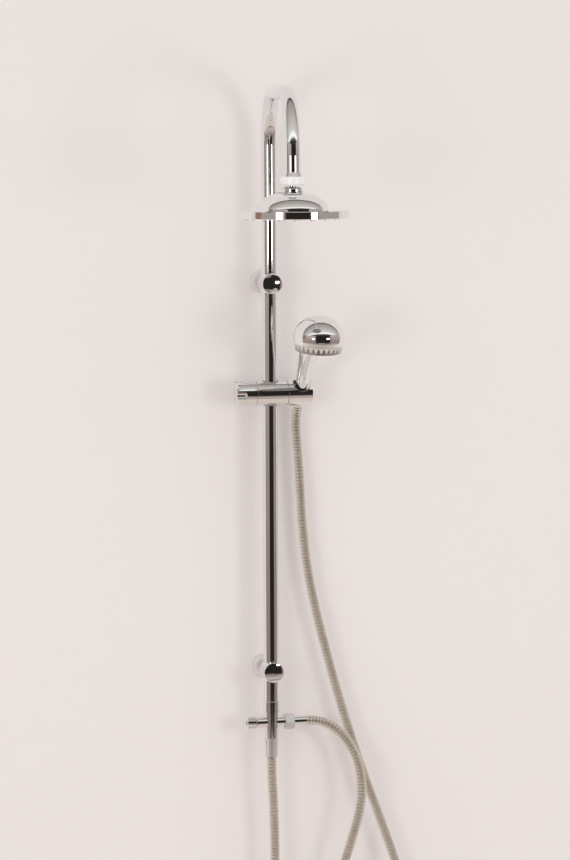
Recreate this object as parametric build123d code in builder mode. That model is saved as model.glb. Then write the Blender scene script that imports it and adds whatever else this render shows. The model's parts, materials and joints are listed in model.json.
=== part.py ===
from build123d import *
import os
from math import asin, cos, degrees, radians, sin, sqrt, tan

os.makedirs("parts", exist_ok=True)

# A rigid riser rail with a swan neck and a round rain head, a slider that holds a hand shower,
# and a diverter at the bottom with the hand shower's hose and the inlet hose.
# Millimetres. The wall is the plane Y = 0, the kit faces -Y, X runs right and Z is up.
# The origin is the screw hole of the lower bracket, on the wall.

# Driving dimensions
bracket_spacing = 565.0
stand_off = 48.0
rail_diameter = 22.0
rail_wall = 1.0
reach = 300.0
swan_top = 838.0
arm_drop = 107.0
arm_swing = 7.0
rain_disc_diameter = 152.0
slider_height = 406.0
barrel_diameter = 37.4
handset_lean = 38.0
handset_turn = -3.9
hose_diameter = 14.4

# Clearances: a running fit on the radius, an easy fit beside it, the space between loose neighbours,
# a seam that shows, and how far a cut runs past its piece
running_fit = 0.05
easy_fit = 0.1
loose_gap = 0.35
seam_gap = 0.4
cut_past = 1.0

rail_radius = rail_diameter / 2
rail_bore = rail_radius - rail_wall
barrel_radius = barrel_diameter / 2
hose_radius = hose_diameter / 2


def finish(piece, name):
    # Names a finished piece and writes it
    piece.part.label = name
    export_step(piece.part, f"parts/{name}.step")


def side_of(base):
    # The plane through the axis of a turned piece: its X is the radius and its Y the height
    return Plane(origin=base.origin, x_dir=base.x_dir, z_dir=-base.y_dir)


def turned(base, outline):
    # A turned piece: radius and height points, spun about the base plane's Z
    with BuildPart() as piece:
        with BuildSketch(side_of(base)):
            with BuildLine():
                Polyline(*outline, close=True)
            make_face()
        revolve(axis=Axis(base.origin, base.z_dir))
    return piece


def ring(base, inner, outer, bottom, top):
    return turned(base, [(inner, bottom), (outer, bottom), (outer, top), (inner, top)])


# Rail with swan neck
diverter_collar_top = -44.0
rail_insert = 14.0
rail_bottom = diverter_collar_top - rail_insert
rear_bend_radius = 75.0
front_bend_radius = 85.0
swing = radians(arm_swing)
arm_forward = Vector(-sin(swing), -cos(swing), 0)
arm_plane = Plane(origin=(0, -stand_off, 0), x_dir=arm_forward, z_dir=arm_forward.cross(Vector(0, 0, 1)))
arm_end_height = swan_top - arm_drop

with BuildPart() as riser_rail:
    with BuildLine(arm_plane) as rail_line:
        FilletPolyline(
            (0, rail_bottom),
            (0, swan_top),
            (reach, swan_top),
            (reach, arm_end_height),
            radius=[rear_bend_radius, front_bend_radius],
        )
    with BuildSketch(Plane(origin=(0, -stand_off, rail_bottom), z_dir=(0, 0, 1))):
        Circle(rail_radius)
        Circle(rail_bore, mode=Mode.SUBTRACT)
    sweep(path=rail_line.line)
finish(riser_rail, "riser_rail")

# Wall brackets
screw_hole_radius = 2.5
countersink_radius = 4.8
plate_radius = 10.5
plate_thickness = 4.0
foot_radius = 14.0
foot_depth = 5.8
neck_radius = 9.0
neck_end = 29.0
eye_radius = 14.5
eye_back = 33.5
sleeve_wall = 0.75
sleeve_inset = 1.5
eye_web = 1.6
cap_radius = 14.7
cap_depth = 6.0
cap_wall = 2.2
flange_radius = 16.6
flange_depth = 9.0
flange_rim = 4.0
flange_shoulder = 12.0
flange_wall = 1.7
grub_radius = 2.0

sleeve_radius = rail_radius + running_fit + sleeve_wall
eye_bore = sleeve_radius + running_fit
eye_front = stand_off + eye_bore + eye_web


def bracket(side, height):
    # One wall bracket; its local Z leaves the wall
    foot = Plane(origin=(0, 0, height), x_dir=(1, 0, 0), z_dir=(0, -1, 0))
    at_rail = Plane(origin=(0, -stand_off, height), x_dir=(1, 0, 0), z_dir=(0, 0, 1))
    sink = countersink_radius - screw_hole_radius

    wall_plate = turned(foot, [
        (screw_hole_radius, 0),
        (plate_radius, 0),
        (plate_radius, plate_thickness),
        (countersink_radius, plate_thickness),
        (screw_hole_radius, plate_thickness - sink),
    ])
    finish(wall_plate, f"{side}_wall_plate")

    socket_radius = plate_radius + easy_fit
    socket_depth = plate_thickness + easy_fit
    stub_radius = cap_radius - cap_wall
    with BuildPart() as pillar:
        add(turned(foot, [
            (0, socket_depth),
            (socket_radius, socket_depth),
            (socket_radius, 0),
            (foot_radius, 0),
            (foot_radius, foot_depth),
            (neck_radius, foot_depth),
            (neck_radius, neck_end),
            (eye_radius, eye_back),
            (eye_radius, eye_front),
            (stub_radius, eye_front),
            (stub_radius, eye_front + cap_depth),
            (0, eye_front + cap_depth),
        ]).part)
        with BuildSketch(at_rail):
            Circle(eye_bore)
        extrude(amount=eye_radius + cut_past, both=True, mode=Mode.SUBTRACT)
        with BuildSketch(Plane(origin=(0, -plate_thickness / 2, height), z_dir=(0, 0, -1))):
            Circle(grub_radius + easy_fit)
        extrude(amount=foot_radius + cut_past, mode=Mode.SUBTRACT)
    finish(pillar, f"{side}_bracket_pillar")

    with BuildPart() as flange:
        with BuildSketch(side_of(foot)):
            with BuildLine():
                Line((flange_radius, 0), (flange_radius, flange_rim))
                EllipticalCenterArc(
                    (flange_shoulder, flange_rim),
                    flange_radius - flange_shoulder,
                    flange_depth - flange_rim,
                    start_angle=0,
                    arc_size=90,
                )
                Polyline(
                    (flange_shoulder, flange_depth),
                    (neck_radius + easy_fit, flange_depth),
                    (neck_radius + easy_fit, foot_depth + easy_fit),
                    (flange_radius - flange_wall, foot_depth + easy_fit),
                    (flange_radius - flange_wall, 0),
                    (flange_radius, 0),
                )
            make_face()
        revolve(axis=Axis(foot.origin, foot.z_dir))
    finish(flange, f"{side}_wall_flange")

    sleeve_half = eye_radius - sleeve_inset
    sleeve = ring(at_rail, rail_radius + running_fit, sleeve_radius, -sleeve_half, sleeve_half)
    finish(sleeve, f"{side}_rail_sleeve")

    # The ball cap is a hollow half ball on the eye's stub
    with BuildPart() as cap:
        with BuildSketch(side_of(foot)):
            with BuildLine():
                CenterArc((0, eye_front), cap_radius, 0, 90)
                Polyline(
                    (0, eye_front + cap_radius),
                    (0, eye_front + cap_depth + easy_fit),
                    (stub_radius + running_fit, eye_front + cap_depth + easy_fit),
                    (stub_radius + running_fit, eye_front),
                    (cap_radius, eye_front),
                )
            make_face()
        revolve(axis=Axis(foot.origin, foot.z_dir))
    finish(cap, f"{side}_ball_cap")


bracket("lower", 0)
bracket("upper", bracket_spacing)

# One grub screw under each bracket's foot
with BuildPart() as bracket_grub_screws:
    for height in (0, bracket_spacing):
        start = height - plate_radius - easy_fit
        with BuildSketch(Plane(origin=(0, -plate_thickness / 2, start), z_dir=(0, 0, -1))):
            Circle(grub_radius)
        extrude(amount=foot_radius - plate_radius - 2 * easy_fit)
finish(bracket_grub_screws, "bracket_grub_screws")


# Hose ends: a washer, a ferrule with its flange, and the nut that draws the flange in
hose_bore = 4.5
washer_thickness = 1.5
flange_thickness = 1.6
nut_lip = 2.0
ferrule_neck_radius = 5.6
ferrule_skirt_wall = 0.2
ferrule_skirt_radius = hose_radius + ferrule_skirt_wall
thread_flat = 0.8
thread_relief = 0.4
hex_chamfer = 1.2
nut_flute_radius = 1.1
nut_flute_start = 2.0
nut_flute_shallow = 0.4


def hose_end_length(skirt):
    # From a fitting's seat to the end of the ferrule, where the hose begins
    return washer_thickness + flange_thickness + nut_lip + 2 * easy_fit + skirt


def hose_fittings(name, seat, flange_disc, skirt):
    # Washer and ferrule; the seat plane's Z runs along the hose, away from the fitting
    finish(ring(seat, hose_bore, flange_disc, 0, washer_thickness), f"{name}_washer")
    shoulder = washer_thickness + flange_thickness
    hose_start = hose_end_length(skirt)
    neck = hose_start - skirt
    ferrule = turned(seat, [
        (hose_bore, washer_thickness),
        (flange_disc, washer_thickness),
        (flange_disc, shoulder),
        (ferrule_neck_radius, shoulder),
        (ferrule_neck_radius, neck),
        (ferrule_skirt_radius - thread_flat, neck),
        (ferrule_skirt_radius, neck + thread_flat),
        (ferrule_skirt_radius, hose_start),
        (hose_bore, hose_start),
    ])
    finish(ferrule, f"{name}_ferrule")
    return seat.origin + seat.z_dir * hose_start


def cone_nut(name, seat, grip, tail, thread, top_radius, bottom_radius, flutes):
    # A fluted cone nut: thread side up to the seat, then its lip, then an open tail over the ferrule
    lip_start = washer_thickness + flange_thickness + easy_fit
    lip_end = lip_start + nut_lip
    with BuildPart() as nut:
        add(turned(seat, [
            (thread, -grip),
            (top_radius - thread_flat, -grip),
            (top_radius, thread_flat - grip),
            (bottom_radius, tail - thread_flat),
            (bottom_radius - thread_flat, tail),
            (ferrule_skirt_radius + easy_fit, tail),
            (ferrule_skirt_radius + easy_fit, lip_end),
            (ferrule_neck_radius + easy_fit, lip_end),
            (ferrule_neck_radius + easy_fit, lip_start),
            (thread, lip_start),
        ]).part)
        if flutes:
            slope = degrees(asin((top_radius - bottom_radius) / (grip + tail)))
            for turn_angle in range(0, 360, 360 // flutes):
                at_flute = seat.rotated((0, 0, turn_angle)).offset(nut_flute_start - grip)
                along = Plane(
                    origin=at_flute.origin + at_flute.x_dir * (top_radius + nut_flute_shallow),
                    x_dir=at_flute.y_dir,
                    z_dir=at_flute.z_dir.rotate(Axis((0, 0, 0), at_flute.y_dir), -slope),
                )
                with BuildSketch(along):
                    Circle(nut_flute_radius)
                extrude(amount=grip + tail, mode=Mode.SUBTRACT)
    finish(nut, f"{name}_nut")


def hex_nut(name, seat, grip, thread, across_flats):
    # A hexagon nut: thread up to the seat, a wider room for the washer and flange, then its lip
    lip_start = washer_thickness + flange_thickness + easy_fit
    lip_end = lip_start + nut_lip
    corner = across_flats / sqrt(3)
    with BuildPart() as nut:
        with BuildSketch(seat.offset(-grip)):
            RegularPolygon(corner, 6)
        extrude(amount=grip + lip_end)
        add(turned(seat, [
            (0, -grip),
            (across_flats / 2, -grip),
            (corner, hex_chamfer - grip),
            (corner, lip_end - hex_chamfer),
            (across_flats / 2, lip_end),
            (0, lip_end),
        ]).part, mode=Mode.INTERSECT)
        add(turned(seat, [
            (0, -grip),
            (thread, -grip),
            (thread, 0),
            (thread + thread_relief, 0),
            (thread + thread_relief, lip_start),
            (ferrule_neck_radius + easy_fit, lip_start),
            (ferrule_neck_radius + easy_fit, lip_end),
            (0, lip_end),
        ]).part, mode=Mode.SUBTRACT)
    finish(nut, f"{name}_nut")


# Diverter
collar_radius = 12.0
collar_height = 17.0
collar_step = 1.0
collar_edge = 0.5
body_radius = 10.0
body_bottom = -98.4
cross_height = -76.0
water_bore = 6.0
spigot_radius = 9.6
spigot_height = 18.0
o_ring_wire = 1.0
o_ring_spacing = 6.0
stub_radius = 7.8
outlet_end = 18.6
outlet_thread_radius = 7.0
outlet_thread_length = 9.0
inlet_thread_radius = 7.6
inlet_thread_length = 12.0
gland_face = 17.0
gland_flange = 4.6
gland_edge = 0.5
stem_radius = 3.5
drum_half = 8.8
knob_radius = 8.7
knob_left = 37.0
knob_right = 22.6
port_radius = 4.0
side_port_radius = 3.5
inlet_port_radius = 5.0

shoulder_height = rail_bottom
collar_bottom = diverter_collar_top - collar_height
diverter_axis = Plane(origin=(0, -stand_off, 0), x_dir=(1, 0, 0), z_dir=(0, 0, 1))
to_right = Plane(origin=(0, -stand_off, cross_height), x_dir=(0, 1, 0), z_dir=(1, 0, 0))
to_left = Plane(origin=(0, -stand_off, cross_height), x_dir=(0, 1, 0), z_dir=(-1, 0, 0))
drum_radius = water_bore - running_fit
spigot_top = shoulder_height + spigot_height
o_ring_heights = [spigot_top - 4, spigot_top - 4 - o_ring_spacing]
o_ring_centre = rail_bore - o_ring_wire - running_fit
groove_floor = o_ring_centre - o_ring_wire - running_fit
groove_half = o_ring_wire + easy_fit

with BuildPart() as diverter_body:
    add(turned(diverter_axis, [
        (0, body_bottom - inlet_thread_length),
        (inlet_thread_radius, body_bottom - inlet_thread_length),
        (inlet_thread_radius, body_bottom),
        (body_radius, body_bottom),
        (body_radius, collar_bottom),
        (collar_radius, collar_bottom),
        (collar_radius, collar_bottom + collar_step),
        (rail_radius, collar_bottom + collar_step),
        (rail_radius, shoulder_height),
        (spigot_radius, shoulder_height),
        (spigot_radius, spigot_top),
        (0, spigot_top),
    ]).part)
    # Left boss for the spindle and right stub for the hose
    with BuildSketch(to_left):
        Circle(stub_radius)
    extrude(amount=gland_face)
    with BuildSketch(to_right):
        Circle(stub_radius)
    extrude(amount=outlet_end)
    with BuildSketch(to_right.offset(outlet_end)):
        Circle(outlet_thread_radius)
    extrude(amount=outlet_thread_length)
    # Waterways
    with BuildSketch(diverter_axis.offset(body_bottom - inlet_thread_length)):
        Circle(inlet_port_radius)
    extrude(amount=spigot_top - body_bottom + inlet_thread_length, mode=Mode.SUBTRACT)
    with BuildSketch(to_left.offset(-drum_half)):
        Circle(water_bore)
    extrude(amount=gland_face + drum_half, mode=Mode.SUBTRACT)
    with BuildSketch(to_right):
        Circle(port_radius)
    extrude(amount=outlet_end + outlet_thread_length, mode=Mode.SUBTRACT)
    for height in o_ring_heights:
        add(ring(
            diverter_axis, groove_floor, spigot_radius + cut_past, height - groove_half, height + groove_half,
        ).part, mode=Mode.SUBTRACT)
finish(diverter_body, "diverter_body")

with BuildPart() as diverter_o_rings:
    for height in o_ring_heights:
        with BuildSketch(side_of(diverter_axis)):
            with Locations((o_ring_centre, height)):
                Circle(o_ring_wire)
        revolve(axis=Axis(diverter_axis.origin, diverter_axis.z_dir))
finish(diverter_o_rings, "diverter_o_rings")

# The collar grips the rail's end and hides the joint; its screw is at the back
collar_screw_height = diverter_collar_top - 5
collar_screw_radius = 1.5
collar_screw_plane = Plane(origin=(0, collar_radius - stand_off, collar_screw_height), z_dir=(0, -1, 0))
collar_base = collar_bottom + collar_step
with BuildPart() as rail_collar:
    add(turned(diverter_axis, [
        (rail_radius + running_fit, collar_base),
        (collar_radius, collar_base),
        (collar_radius, diverter_collar_top - collar_edge),
        (collar_radius - collar_edge, diverter_collar_top),
        (rail_radius + running_fit, diverter_collar_top),
    ]).part)
    with BuildSketch(collar_screw_plane):
        Circle(collar_screw_radius + 0.02)
    extrude(amount=collar_radius - rail_radius, mode=Mode.SUBTRACT)
finish(rail_collar, "rail_collar")

with BuildPart() as rail_collar_screw:
    with BuildSketch(collar_screw_plane):
        Circle(collar_screw_radius)
    extrude(amount=collar_radius - rail_radius - running_fit)
finish(rail_collar_screw, "rail_collar_screw")

# Gland nut: a threaded plug in the boss with a round flange outside
gland_nut = turned(to_left, [
    (stem_radius + running_fit, drum_half + easy_fit),
    (water_bore - easy_fit, drum_half + easy_fit),
    (water_bore - easy_fit, gland_face),
    (stub_radius, gland_face),
    (stub_radius, gland_face + gland_flange - gland_edge),
    (stub_radius - gland_edge, gland_face + gland_flange),
    (stem_radius + running_fit, gland_face + gland_flange),
])
finish(gland_nut, "gland_nut")

# Spindle: a drum with a through port and a side port, and a stem out to the knob
knob_screw_sink = 3.0
knob_screw_radius = 1.5
knob_screw_length = 7.0
stem_end = knob_left - knob_screw_sink
with BuildPart() as diverter_spindle:
    add(turned(to_left, [
        (0, -drum_half + easy_fit),
        (drum_radius, -drum_half + easy_fit),
        (drum_radius, drum_half),
        (stem_radius, drum_half),
        (stem_radius, stem_end),
        (0, stem_end),
    ]).part)
    with BuildSketch(Plane(origin=(0, -stand_off, cross_height), z_dir=(0, 0, 1))):
        Circle(port_radius)
    extrude(amount=water_bore + cut_past, both=True, mode=Mode.SUBTRACT)
    with BuildSketch(to_right):
        Circle(side_port_radius)
    extrude(amount=drum_half, mode=Mode.SUBTRACT)
    with BuildSketch(to_left.offset(stem_end)):
        Circle(knob_screw_radius)
    extrude(amount=-knob_screw_length - cut_past, mode=Mode.SUBTRACT)
finish(diverter_spindle, "diverter_spindle")

# Knob with shallow grip flutes, open to its screw on the outside
knob_flutes = 12
knob_flute_radius = 0.9
knob_flute_shallow = 0.5
knob_edge = 1.3
knob_recess = 4.2
with BuildPart() as diverter_knob:
    add(turned(to_left, [
        (stem_radius + running_fit, knob_right),
        (knob_radius - knob_edge, knob_right),
        (knob_radius, knob_right + knob_edge),
        (knob_radius, knob_left - knob_edge),
        (knob_radius - knob_edge, knob_left),
        (knob_recess, knob_left),
        (knob_recess, stem_end),
        (stem_radius + running_fit, stem_end),
    ]).part)
    with BuildSketch(to_left.offset(knob_right)):
        with PolarLocations(knob_radius + knob_flute_shallow, knob_flutes):
            Circle(knob_flute_radius)
    extrude(amount=knob_left - knob_right, mode=Mode.SUBTRACT)
finish(diverter_knob, "diverter_knob")

screw_head_top = stem_end + knob_screw_sink - collar_edge
knob_screw = turned(to_left, [
    (0, stem_end - knob_screw_length),
    (knob_screw_radius - running_fit, stem_end - knob_screw_length),
    (knob_screw_radius - running_fit, stem_end + running_fit),
    (knob_recess - easy_fit, stem_end + running_fit),
    (knob_recess - easy_fit, screw_head_top),
    (0, screw_head_top),
])
finish(knob_screw, "knob_screw")

# Outlet: hex nut, washer and long ferrule
outlet_seat = to_right.offset(outlet_end + outlet_thread_length)
outlet_flats = 20.6
outlet_thread = outlet_thread_radius + easy_fit
hex_nut("outlet_hose", outlet_seat, outlet_thread_length - loose_gap, outlet_thread, outlet_flats)
outlet_skirt = 18.4
outlet_exit = hose_fittings("outlet_hose", outlet_seat, outlet_thread - easy_fit, outlet_skirt)

# Inlet: fluted cone nut under the body
inlet_nut_tail = 17.0
inlet_nut_top_radius = 9.7
inlet_nut_bottom_radius = 8.6
inlet_seat = Plane(
    origin=(0, -stand_off, body_bottom - inlet_thread_length), x_dir=(1, 0, 0), z_dir=(0, 0, -1)
)
inlet_nut_flutes = 12
cone_nut(
    "inlet_hose", inlet_seat, inlet_thread_length - loose_gap, inlet_nut_tail,
    inlet_thread_radius + easy_fit, inlet_nut_top_radius, inlet_nut_bottom_radius, inlet_nut_flutes,
)
inlet_skirt = 7.0
inlet_exit = hose_fittings("inlet_hose", inlet_seat, inlet_thread_radius - easy_fit, inlet_skirt)

# Swan neck end: a spigot brazed into the arm, a washer, a white union nut and the ball it carries
spigot_plug = 12.0
spigot_cone = 6.0
spigot_foot = 14.0
spigot_thread = 11.1
spigot_thread_length = 6.0
water_way = 4.0
union_radius = 16.2
union_height = 11.5
union_lip = 2.0
union_edge = 1.2
spigot_step = 0.2
ball_flange = 11.0
ball_neck = 5.2
ball_radius = 8.5
ball_drop = 8.5
head_washer = 1.4

arm_x = arm_forward.X * reach
arm_y = arm_forward.Y * reach - stand_off
arm_end = Plane(origin=(arm_x, arm_y, arm_end_height), x_dir=(1, 0, 0), z_dir=(0, 0, -1))
spigot_end = spigot_cone + spigot_thread_length
union_bottom = spigot_cone + union_height
lip_top = union_bottom - union_lip
ball_centre = union_bottom + ball_drop
ball_join = ball_centre - sqrt(ball_radius**2 - ball_neck**2)
ball_mouth = ball_centre + sqrt(ball_radius**2 - water_way**2)

arm_spigot = turned(arm_end, [
    (water_way, -spigot_plug),
    (rail_bore - running_fit, -spigot_plug),
    (rail_bore - running_fit, 0),
    (rail_radius + spigot_step, 0),
    (spigot_foot, spigot_cone),
    (spigot_thread, spigot_cone),
    (spigot_thread, spigot_end),
    (water_way, spigot_end),
])
finish(arm_spigot, "arm_spigot")
finish(ring(arm_end, water_way, ball_flange, spigot_end, spigot_end + head_washer), "union_washer")

union_nut = turned(arm_end, [
    (spigot_thread + easy_fit, spigot_cone),
    (union_radius - union_edge, spigot_cone),
    (union_radius, spigot_cone + union_edge),
    (union_radius, union_bottom - union_edge),
    (union_radius - union_edge, union_bottom),
    (ball_radius + easy_fit, union_bottom),
    (ball_radius + easy_fit, lip_top),
    (spigot_thread + easy_fit, lip_top),
])
finish(union_nut, "union_nut")

with BuildPart() as swivel_ball:
    with BuildSketch(side_of(arm_end)):
        with BuildLine():
            Polyline(
                (water_way, ball_mouth),
                (water_way, spigot_end + head_washer),
                (ball_flange, spigot_end + head_washer),
                (ball_flange, lip_top),
                (ball_neck, lip_top),
                (ball_neck, ball_join),
            )
            ThreePointArc((ball_neck, ball_join), (ball_radius, ball_centre), (water_way, ball_mouth))
        make_face()
    revolve(axis=Axis(arm_end.origin, arm_end.z_dir))
finish(swivel_ball, "swivel_ball")

# Rain head, measured from the ball's centre, Z up
seat_wall = 1.85
seat_top = 2.3
seat_hole = 5.5
socket_neck = 12.5
neck_top = 4.4
collar_outer = 14.5
collar_bottom_height = -0.2
collar_top = 6.2
collar_crown = 8.6
collar_shoulder = 12.4
collar_shoulder_drop = 1.1
collar_side_drop = 2.8
collar_mouth = 7.8
lip_height = 5.1
dome_radius = 49.0
dome_height = 25.2
disc_top = -24.6
disc_depth = 11.0
disc_wall = 2.0
disc_rim = 1.0
disc_edge = 2.0
face_thickness = 3.0
inner_dome_radius = 46.5
inner_dome_height = 13.9

pivot_height = arm_end_height - ball_centre
disc_radius = rain_disc_diameter / 2
face_radius = disc_radius - disc_edge
disc_bottom = disc_top - disc_depth
pivot = Plane(origin=(arm_x, arm_y, pivot_height), x_dir=(1, 0, 0), z_dir=(0, 0, 1))
seat_inner = ball_radius + running_fit
seat_outer = seat_inner + seat_wall
socket_radius = seat_outer + running_fit
lip_radius = ball_radius + easy_fit


def on_sphere(radius, height):
    return sqrt(radius**2 - height**2)


with BuildPart() as ball_seat:
    with BuildSketch(side_of(pivot)):
        with BuildLine():
            ThreePointArc(
                (on_sphere(seat_inner, seat_top), seat_top),
                (seat_inner, 0),
                (seat_hole, -on_sphere(seat_inner, seat_hole)),
            )
            Line((seat_hole, -on_sphere(seat_inner, seat_hole)), (seat_hole, -on_sphere(seat_outer, seat_hole)))
            ThreePointArc(
                (seat_hole, -on_sphere(seat_outer, seat_hole)),
                (seat_outer, 0),
                (on_sphere(seat_outer, seat_top), seat_top),
            )
            Line((on_sphere(seat_outer, seat_top), seat_top), (on_sphere(seat_inner, seat_top), seat_top))
        make_face()
    revolve(axis=Axis(pivot.origin, pivot.z_dir))
finish(ball_seat, "ball_seat")

with BuildPart() as ball_collar:
    with BuildSketch(side_of(pivot)):
        with BuildLine():
            Polyline(
                (on_sphere(lip_radius, lip_height), lip_height),
                (collar_mouth, collar_top),
                (collar_crown, collar_top),
                (collar_shoulder, collar_top - collar_shoulder_drop),
                (collar_outer, collar_top - collar_side_drop),
                (collar_outer, collar_bottom_height),
                (socket_neck + easy_fit, collar_bottom_height),
                (socket_neck + easy_fit, neck_top + easy_fit),
                (on_sphere(lip_radius, neck_top + easy_fit), neck_top + easy_fit),
            )
            RadiusArc(
                (on_sphere(lip_radius, neck_top + easy_fit), neck_top + easy_fit),
                (on_sphere(lip_radius, lip_height), lip_height),
                -lip_radius,
            )
        make_face()
    revolve(axis=Axis(pivot.origin, pivot.z_dir))
finish(ball_collar, "ball_collar")

# Dome and disc in one; the dome's outline is a quarter ellipse that starts under the collar
dome_start = disc_top + dome_height * sqrt(1 - (socket_neck / dome_radius) ** 2)
dome_angle = degrees(asin((dome_start - disc_top) / dome_height))
inner_top = disc_top - disc_wall + inner_dome_height
with BuildPart() as rain_shell:
    with BuildSketch(side_of(pivot)):
        with BuildLine():
            Polyline(
                (on_sphere(socket_radius, neck_top), neck_top),
                (socket_neck, neck_top),
                (socket_neck, dome_start),
            )
            EllipticalCenterArc(
                (0, disc_top), dome_radius, dome_height, start_angle=0, arc_size=dome_angle,
            )
            Polyline(
                (dome_radius, disc_top),
                (disc_radius - disc_rim, disc_top),
                (disc_radius, disc_top - disc_rim),
                (disc_radius, disc_bottom + disc_rim),
                (disc_radius - disc_rim, disc_bottom),
                (face_radius + running_fit, disc_bottom),
                (face_radius + running_fit, disc_bottom + face_thickness),
                (face_radius - disc_wall, disc_bottom + face_thickness),
                (face_radius - disc_wall, disc_top - disc_wall),
                (inner_dome_radius, disc_top - disc_wall),
            )
            EllipticalCenterArc(
                (0, disc_top - disc_wall), inner_dome_radius, inner_dome_height, start_angle=0, arc_size=90,
            )
            Polyline(
                (0, inner_top),
                (0, -socket_radius),
            )
            ThreePointArc(
                (0, -socket_radius),
                (socket_radius * sin(radians(60)), -socket_radius * cos(radians(60))),
                (on_sphere(socket_radius, neck_top), neck_top),
            )
        make_face()
    revolve(axis=Axis(pivot.origin, pivot.z_dir))
    with BuildSketch(pivot.offset(inner_top - 1)):
        Circle(seat_hole)
    extrude(amount=-inner_top, mode=Mode.SUBTRACT)
finish(rain_shell, "rain_shell")

# Face plate with rings of holes, and the soft nozzles in them
nozzle_rings = 3
ring_step = 21.0
nozzle_radius = 1.8
nozzle_tip = 1.2
nozzle_length = 5.0

with BuildPart() as rain_face_plate:
    with BuildSketch(pivot.offset(disc_bottom)):
        Circle(face_radius)
        for number in range(1, nozzle_rings + 1):
            with PolarLocations(ring_step * number, 6 * number):
                Circle(nozzle_radius + running_fit, mode=Mode.SUBTRACT)
    extrude(amount=face_thickness)
finish(rain_face_plate, "rain_face_plate")

with BuildPart() as rain_nozzles:
    for number in range(1, nozzle_rings + 1):
        with Locations(pivot.offset(disc_bottom + face_thickness - nozzle_length / 2)):
            with PolarLocations(ring_step * number, 6 * number):
                Cone(nozzle_tip, nozzle_radius, nozzle_length)
finish(rain_nozzles, "rain_nozzles")

# Slider: its axis runs along X through the rail; side heights are X
knob_end = -51.5
knob_start = -21.7
body_left = -21.3
body_right = 24.0
barrel_start = body_right + seam_gap
barrel_end = 60.5
bush_wall = 1.7
bush_length = 34.0
bush_slit = 2.0
lock_screw_radius = 4.0
pad_radius = 6.0
pad_thickness = 1.4
ring_inner = 8.0
ring_outer = 13.0
ring_thickness = 1.5
holder_head = 6.5
holder_head_start = 28.0
holder_head_end = 30.8
edge_round = 1.0
small_round = 0.5
knob_face_round = 1.8
screw_gap = 1.2

slider_centre = Vector(0, -stand_off, slider_height)
across = Plane(origin=slider_centre, x_dir=(0, 1, 0), z_dir=(1, 0, 0))
on_rail = Plane(origin=slider_centre, x_dir=(1, 0, 0), z_dir=(0, 0, 1))
bush_inner = rail_radius + running_fit
bush_outer = bush_inner + bush_wall
pad_right = -(bush_outer + running_fit) - easy_fit
pad_left = pad_right - pad_thickness

with BuildPart() as rail_bush:
    add(ring(on_rail, bush_inner, bush_outer, -bush_length / 2, bush_length / 2).part)
    with Locations((0, bush_outer - stand_off, slider_height)):
        Box(bush_slit, 2 * bush_wall + cut_past, bush_length + cut_past, mode=Mode.SUBTRACT)
finish(rail_bush, "rail_bush")


def drum(start, end, start_round, end_round):
    # A round block of the slider's diameter along X, with its edges eased
    return turned(across, [
        (0, start),
        (barrel_radius - start_round, start),
        (barrel_radius, start + start_round),
        (barrel_radius, end - end_round),
        (barrel_radius - end_round, end),
        (0, end),
    ])


with BuildPart() as slider_body:
    add(drum(body_left, body_right, small_round, small_round).part)
    with BuildSketch(on_rail):
        Circle(bush_outer + running_fit)
    extrude(amount=barrel_radius + cut_past, both=True, mode=Mode.SUBTRACT)
    with BuildSketch(across.offset(body_left)):
        Circle(lock_screw_radius + running_fit)
    extrude(amount=-body_left, mode=Mode.SUBTRACT)
    with BuildSketch(across.offset(pad_left - easy_fit)):
        Circle(pad_radius + running_fit)
    extrude(amount=-pad_left, mode=Mode.SUBTRACT)
    with BuildSketch(across.offset(body_right)):
        Circle(lock_screw_radius + running_fit)
    extrude(amount=-body_right, mode=Mode.SUBTRACT)
    with BuildSketch(across.offset(body_right)):
        Circle(ring_outer + easy_fit)
        Circle(ring_inner - easy_fit, mode=Mode.SUBTRACT)
    extrude(amount=-(ring_thickness - seam_gap + easy_fit), mode=Mode.SUBTRACT)
finish(slider_body, "slider_body")

with BuildPart() as pressure_pad:
    with BuildSketch(across.offset(pad_left)):
        Circle(pad_radius)
    extrude(amount=pad_thickness)
finish(pressure_pad, "pressure_pad")

finish(
    ring(across, ring_inner, ring_outer, barrel_start - easy_fit - ring_thickness, barrel_start - easy_fit),
    "friction_ring",
)

holder_screw = turned(across, [
    (0, bush_outer + screw_gap),
    (lock_screw_radius, bush_outer + screw_gap),
    (lock_screw_radius, holder_head_start),
    (holder_head, holder_head_start),
    (holder_head, holder_head_end),
    (0, holder_head_end),
])
finish(holder_screw, "holder_screw")

# Lock knob with four thumb flutes that run out before its root
flute_count = 4
flute_radius = 5.5
flute_length = 15.0
flute_turn = 4.0
flute_centre = barrel_radius + 1.4
screw_end = knob_end + 6.5

with BuildPart() as lock_knob:
    add(drum(knob_end, knob_start, knob_face_round, small_round).part)
    with BuildSketch(across.offset(knob_start)):
        Circle(lock_screw_radius + running_fit)
    extrude(amount=screw_end - knob_start, mode=Mode.SUBTRACT)
    with BuildSketch(across.offset(knob_end)):
        with PolarLocations(flute_centre, flute_count, start_angle=180 + flute_turn):
            Circle(flute_radius)
    extrude(amount=flute_length - flute_radius, mode=Mode.SUBTRACT)
    with Locations(across.offset(knob_end + flute_length - flute_radius)):
        with PolarLocations(flute_centre, flute_count, start_angle=180 + flute_turn):
            Sphere(flute_radius, mode=Mode.SUBTRACT)
finish(lock_knob, "lock_knob")

with BuildPart() as lock_screw:
    with BuildSketch(across.offset(screw_end)):
        Circle(lock_screw_radius)
    extrude(amount=pad_left - easy_fit - screw_end)
finish(lock_screw, "lock_screw")

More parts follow.
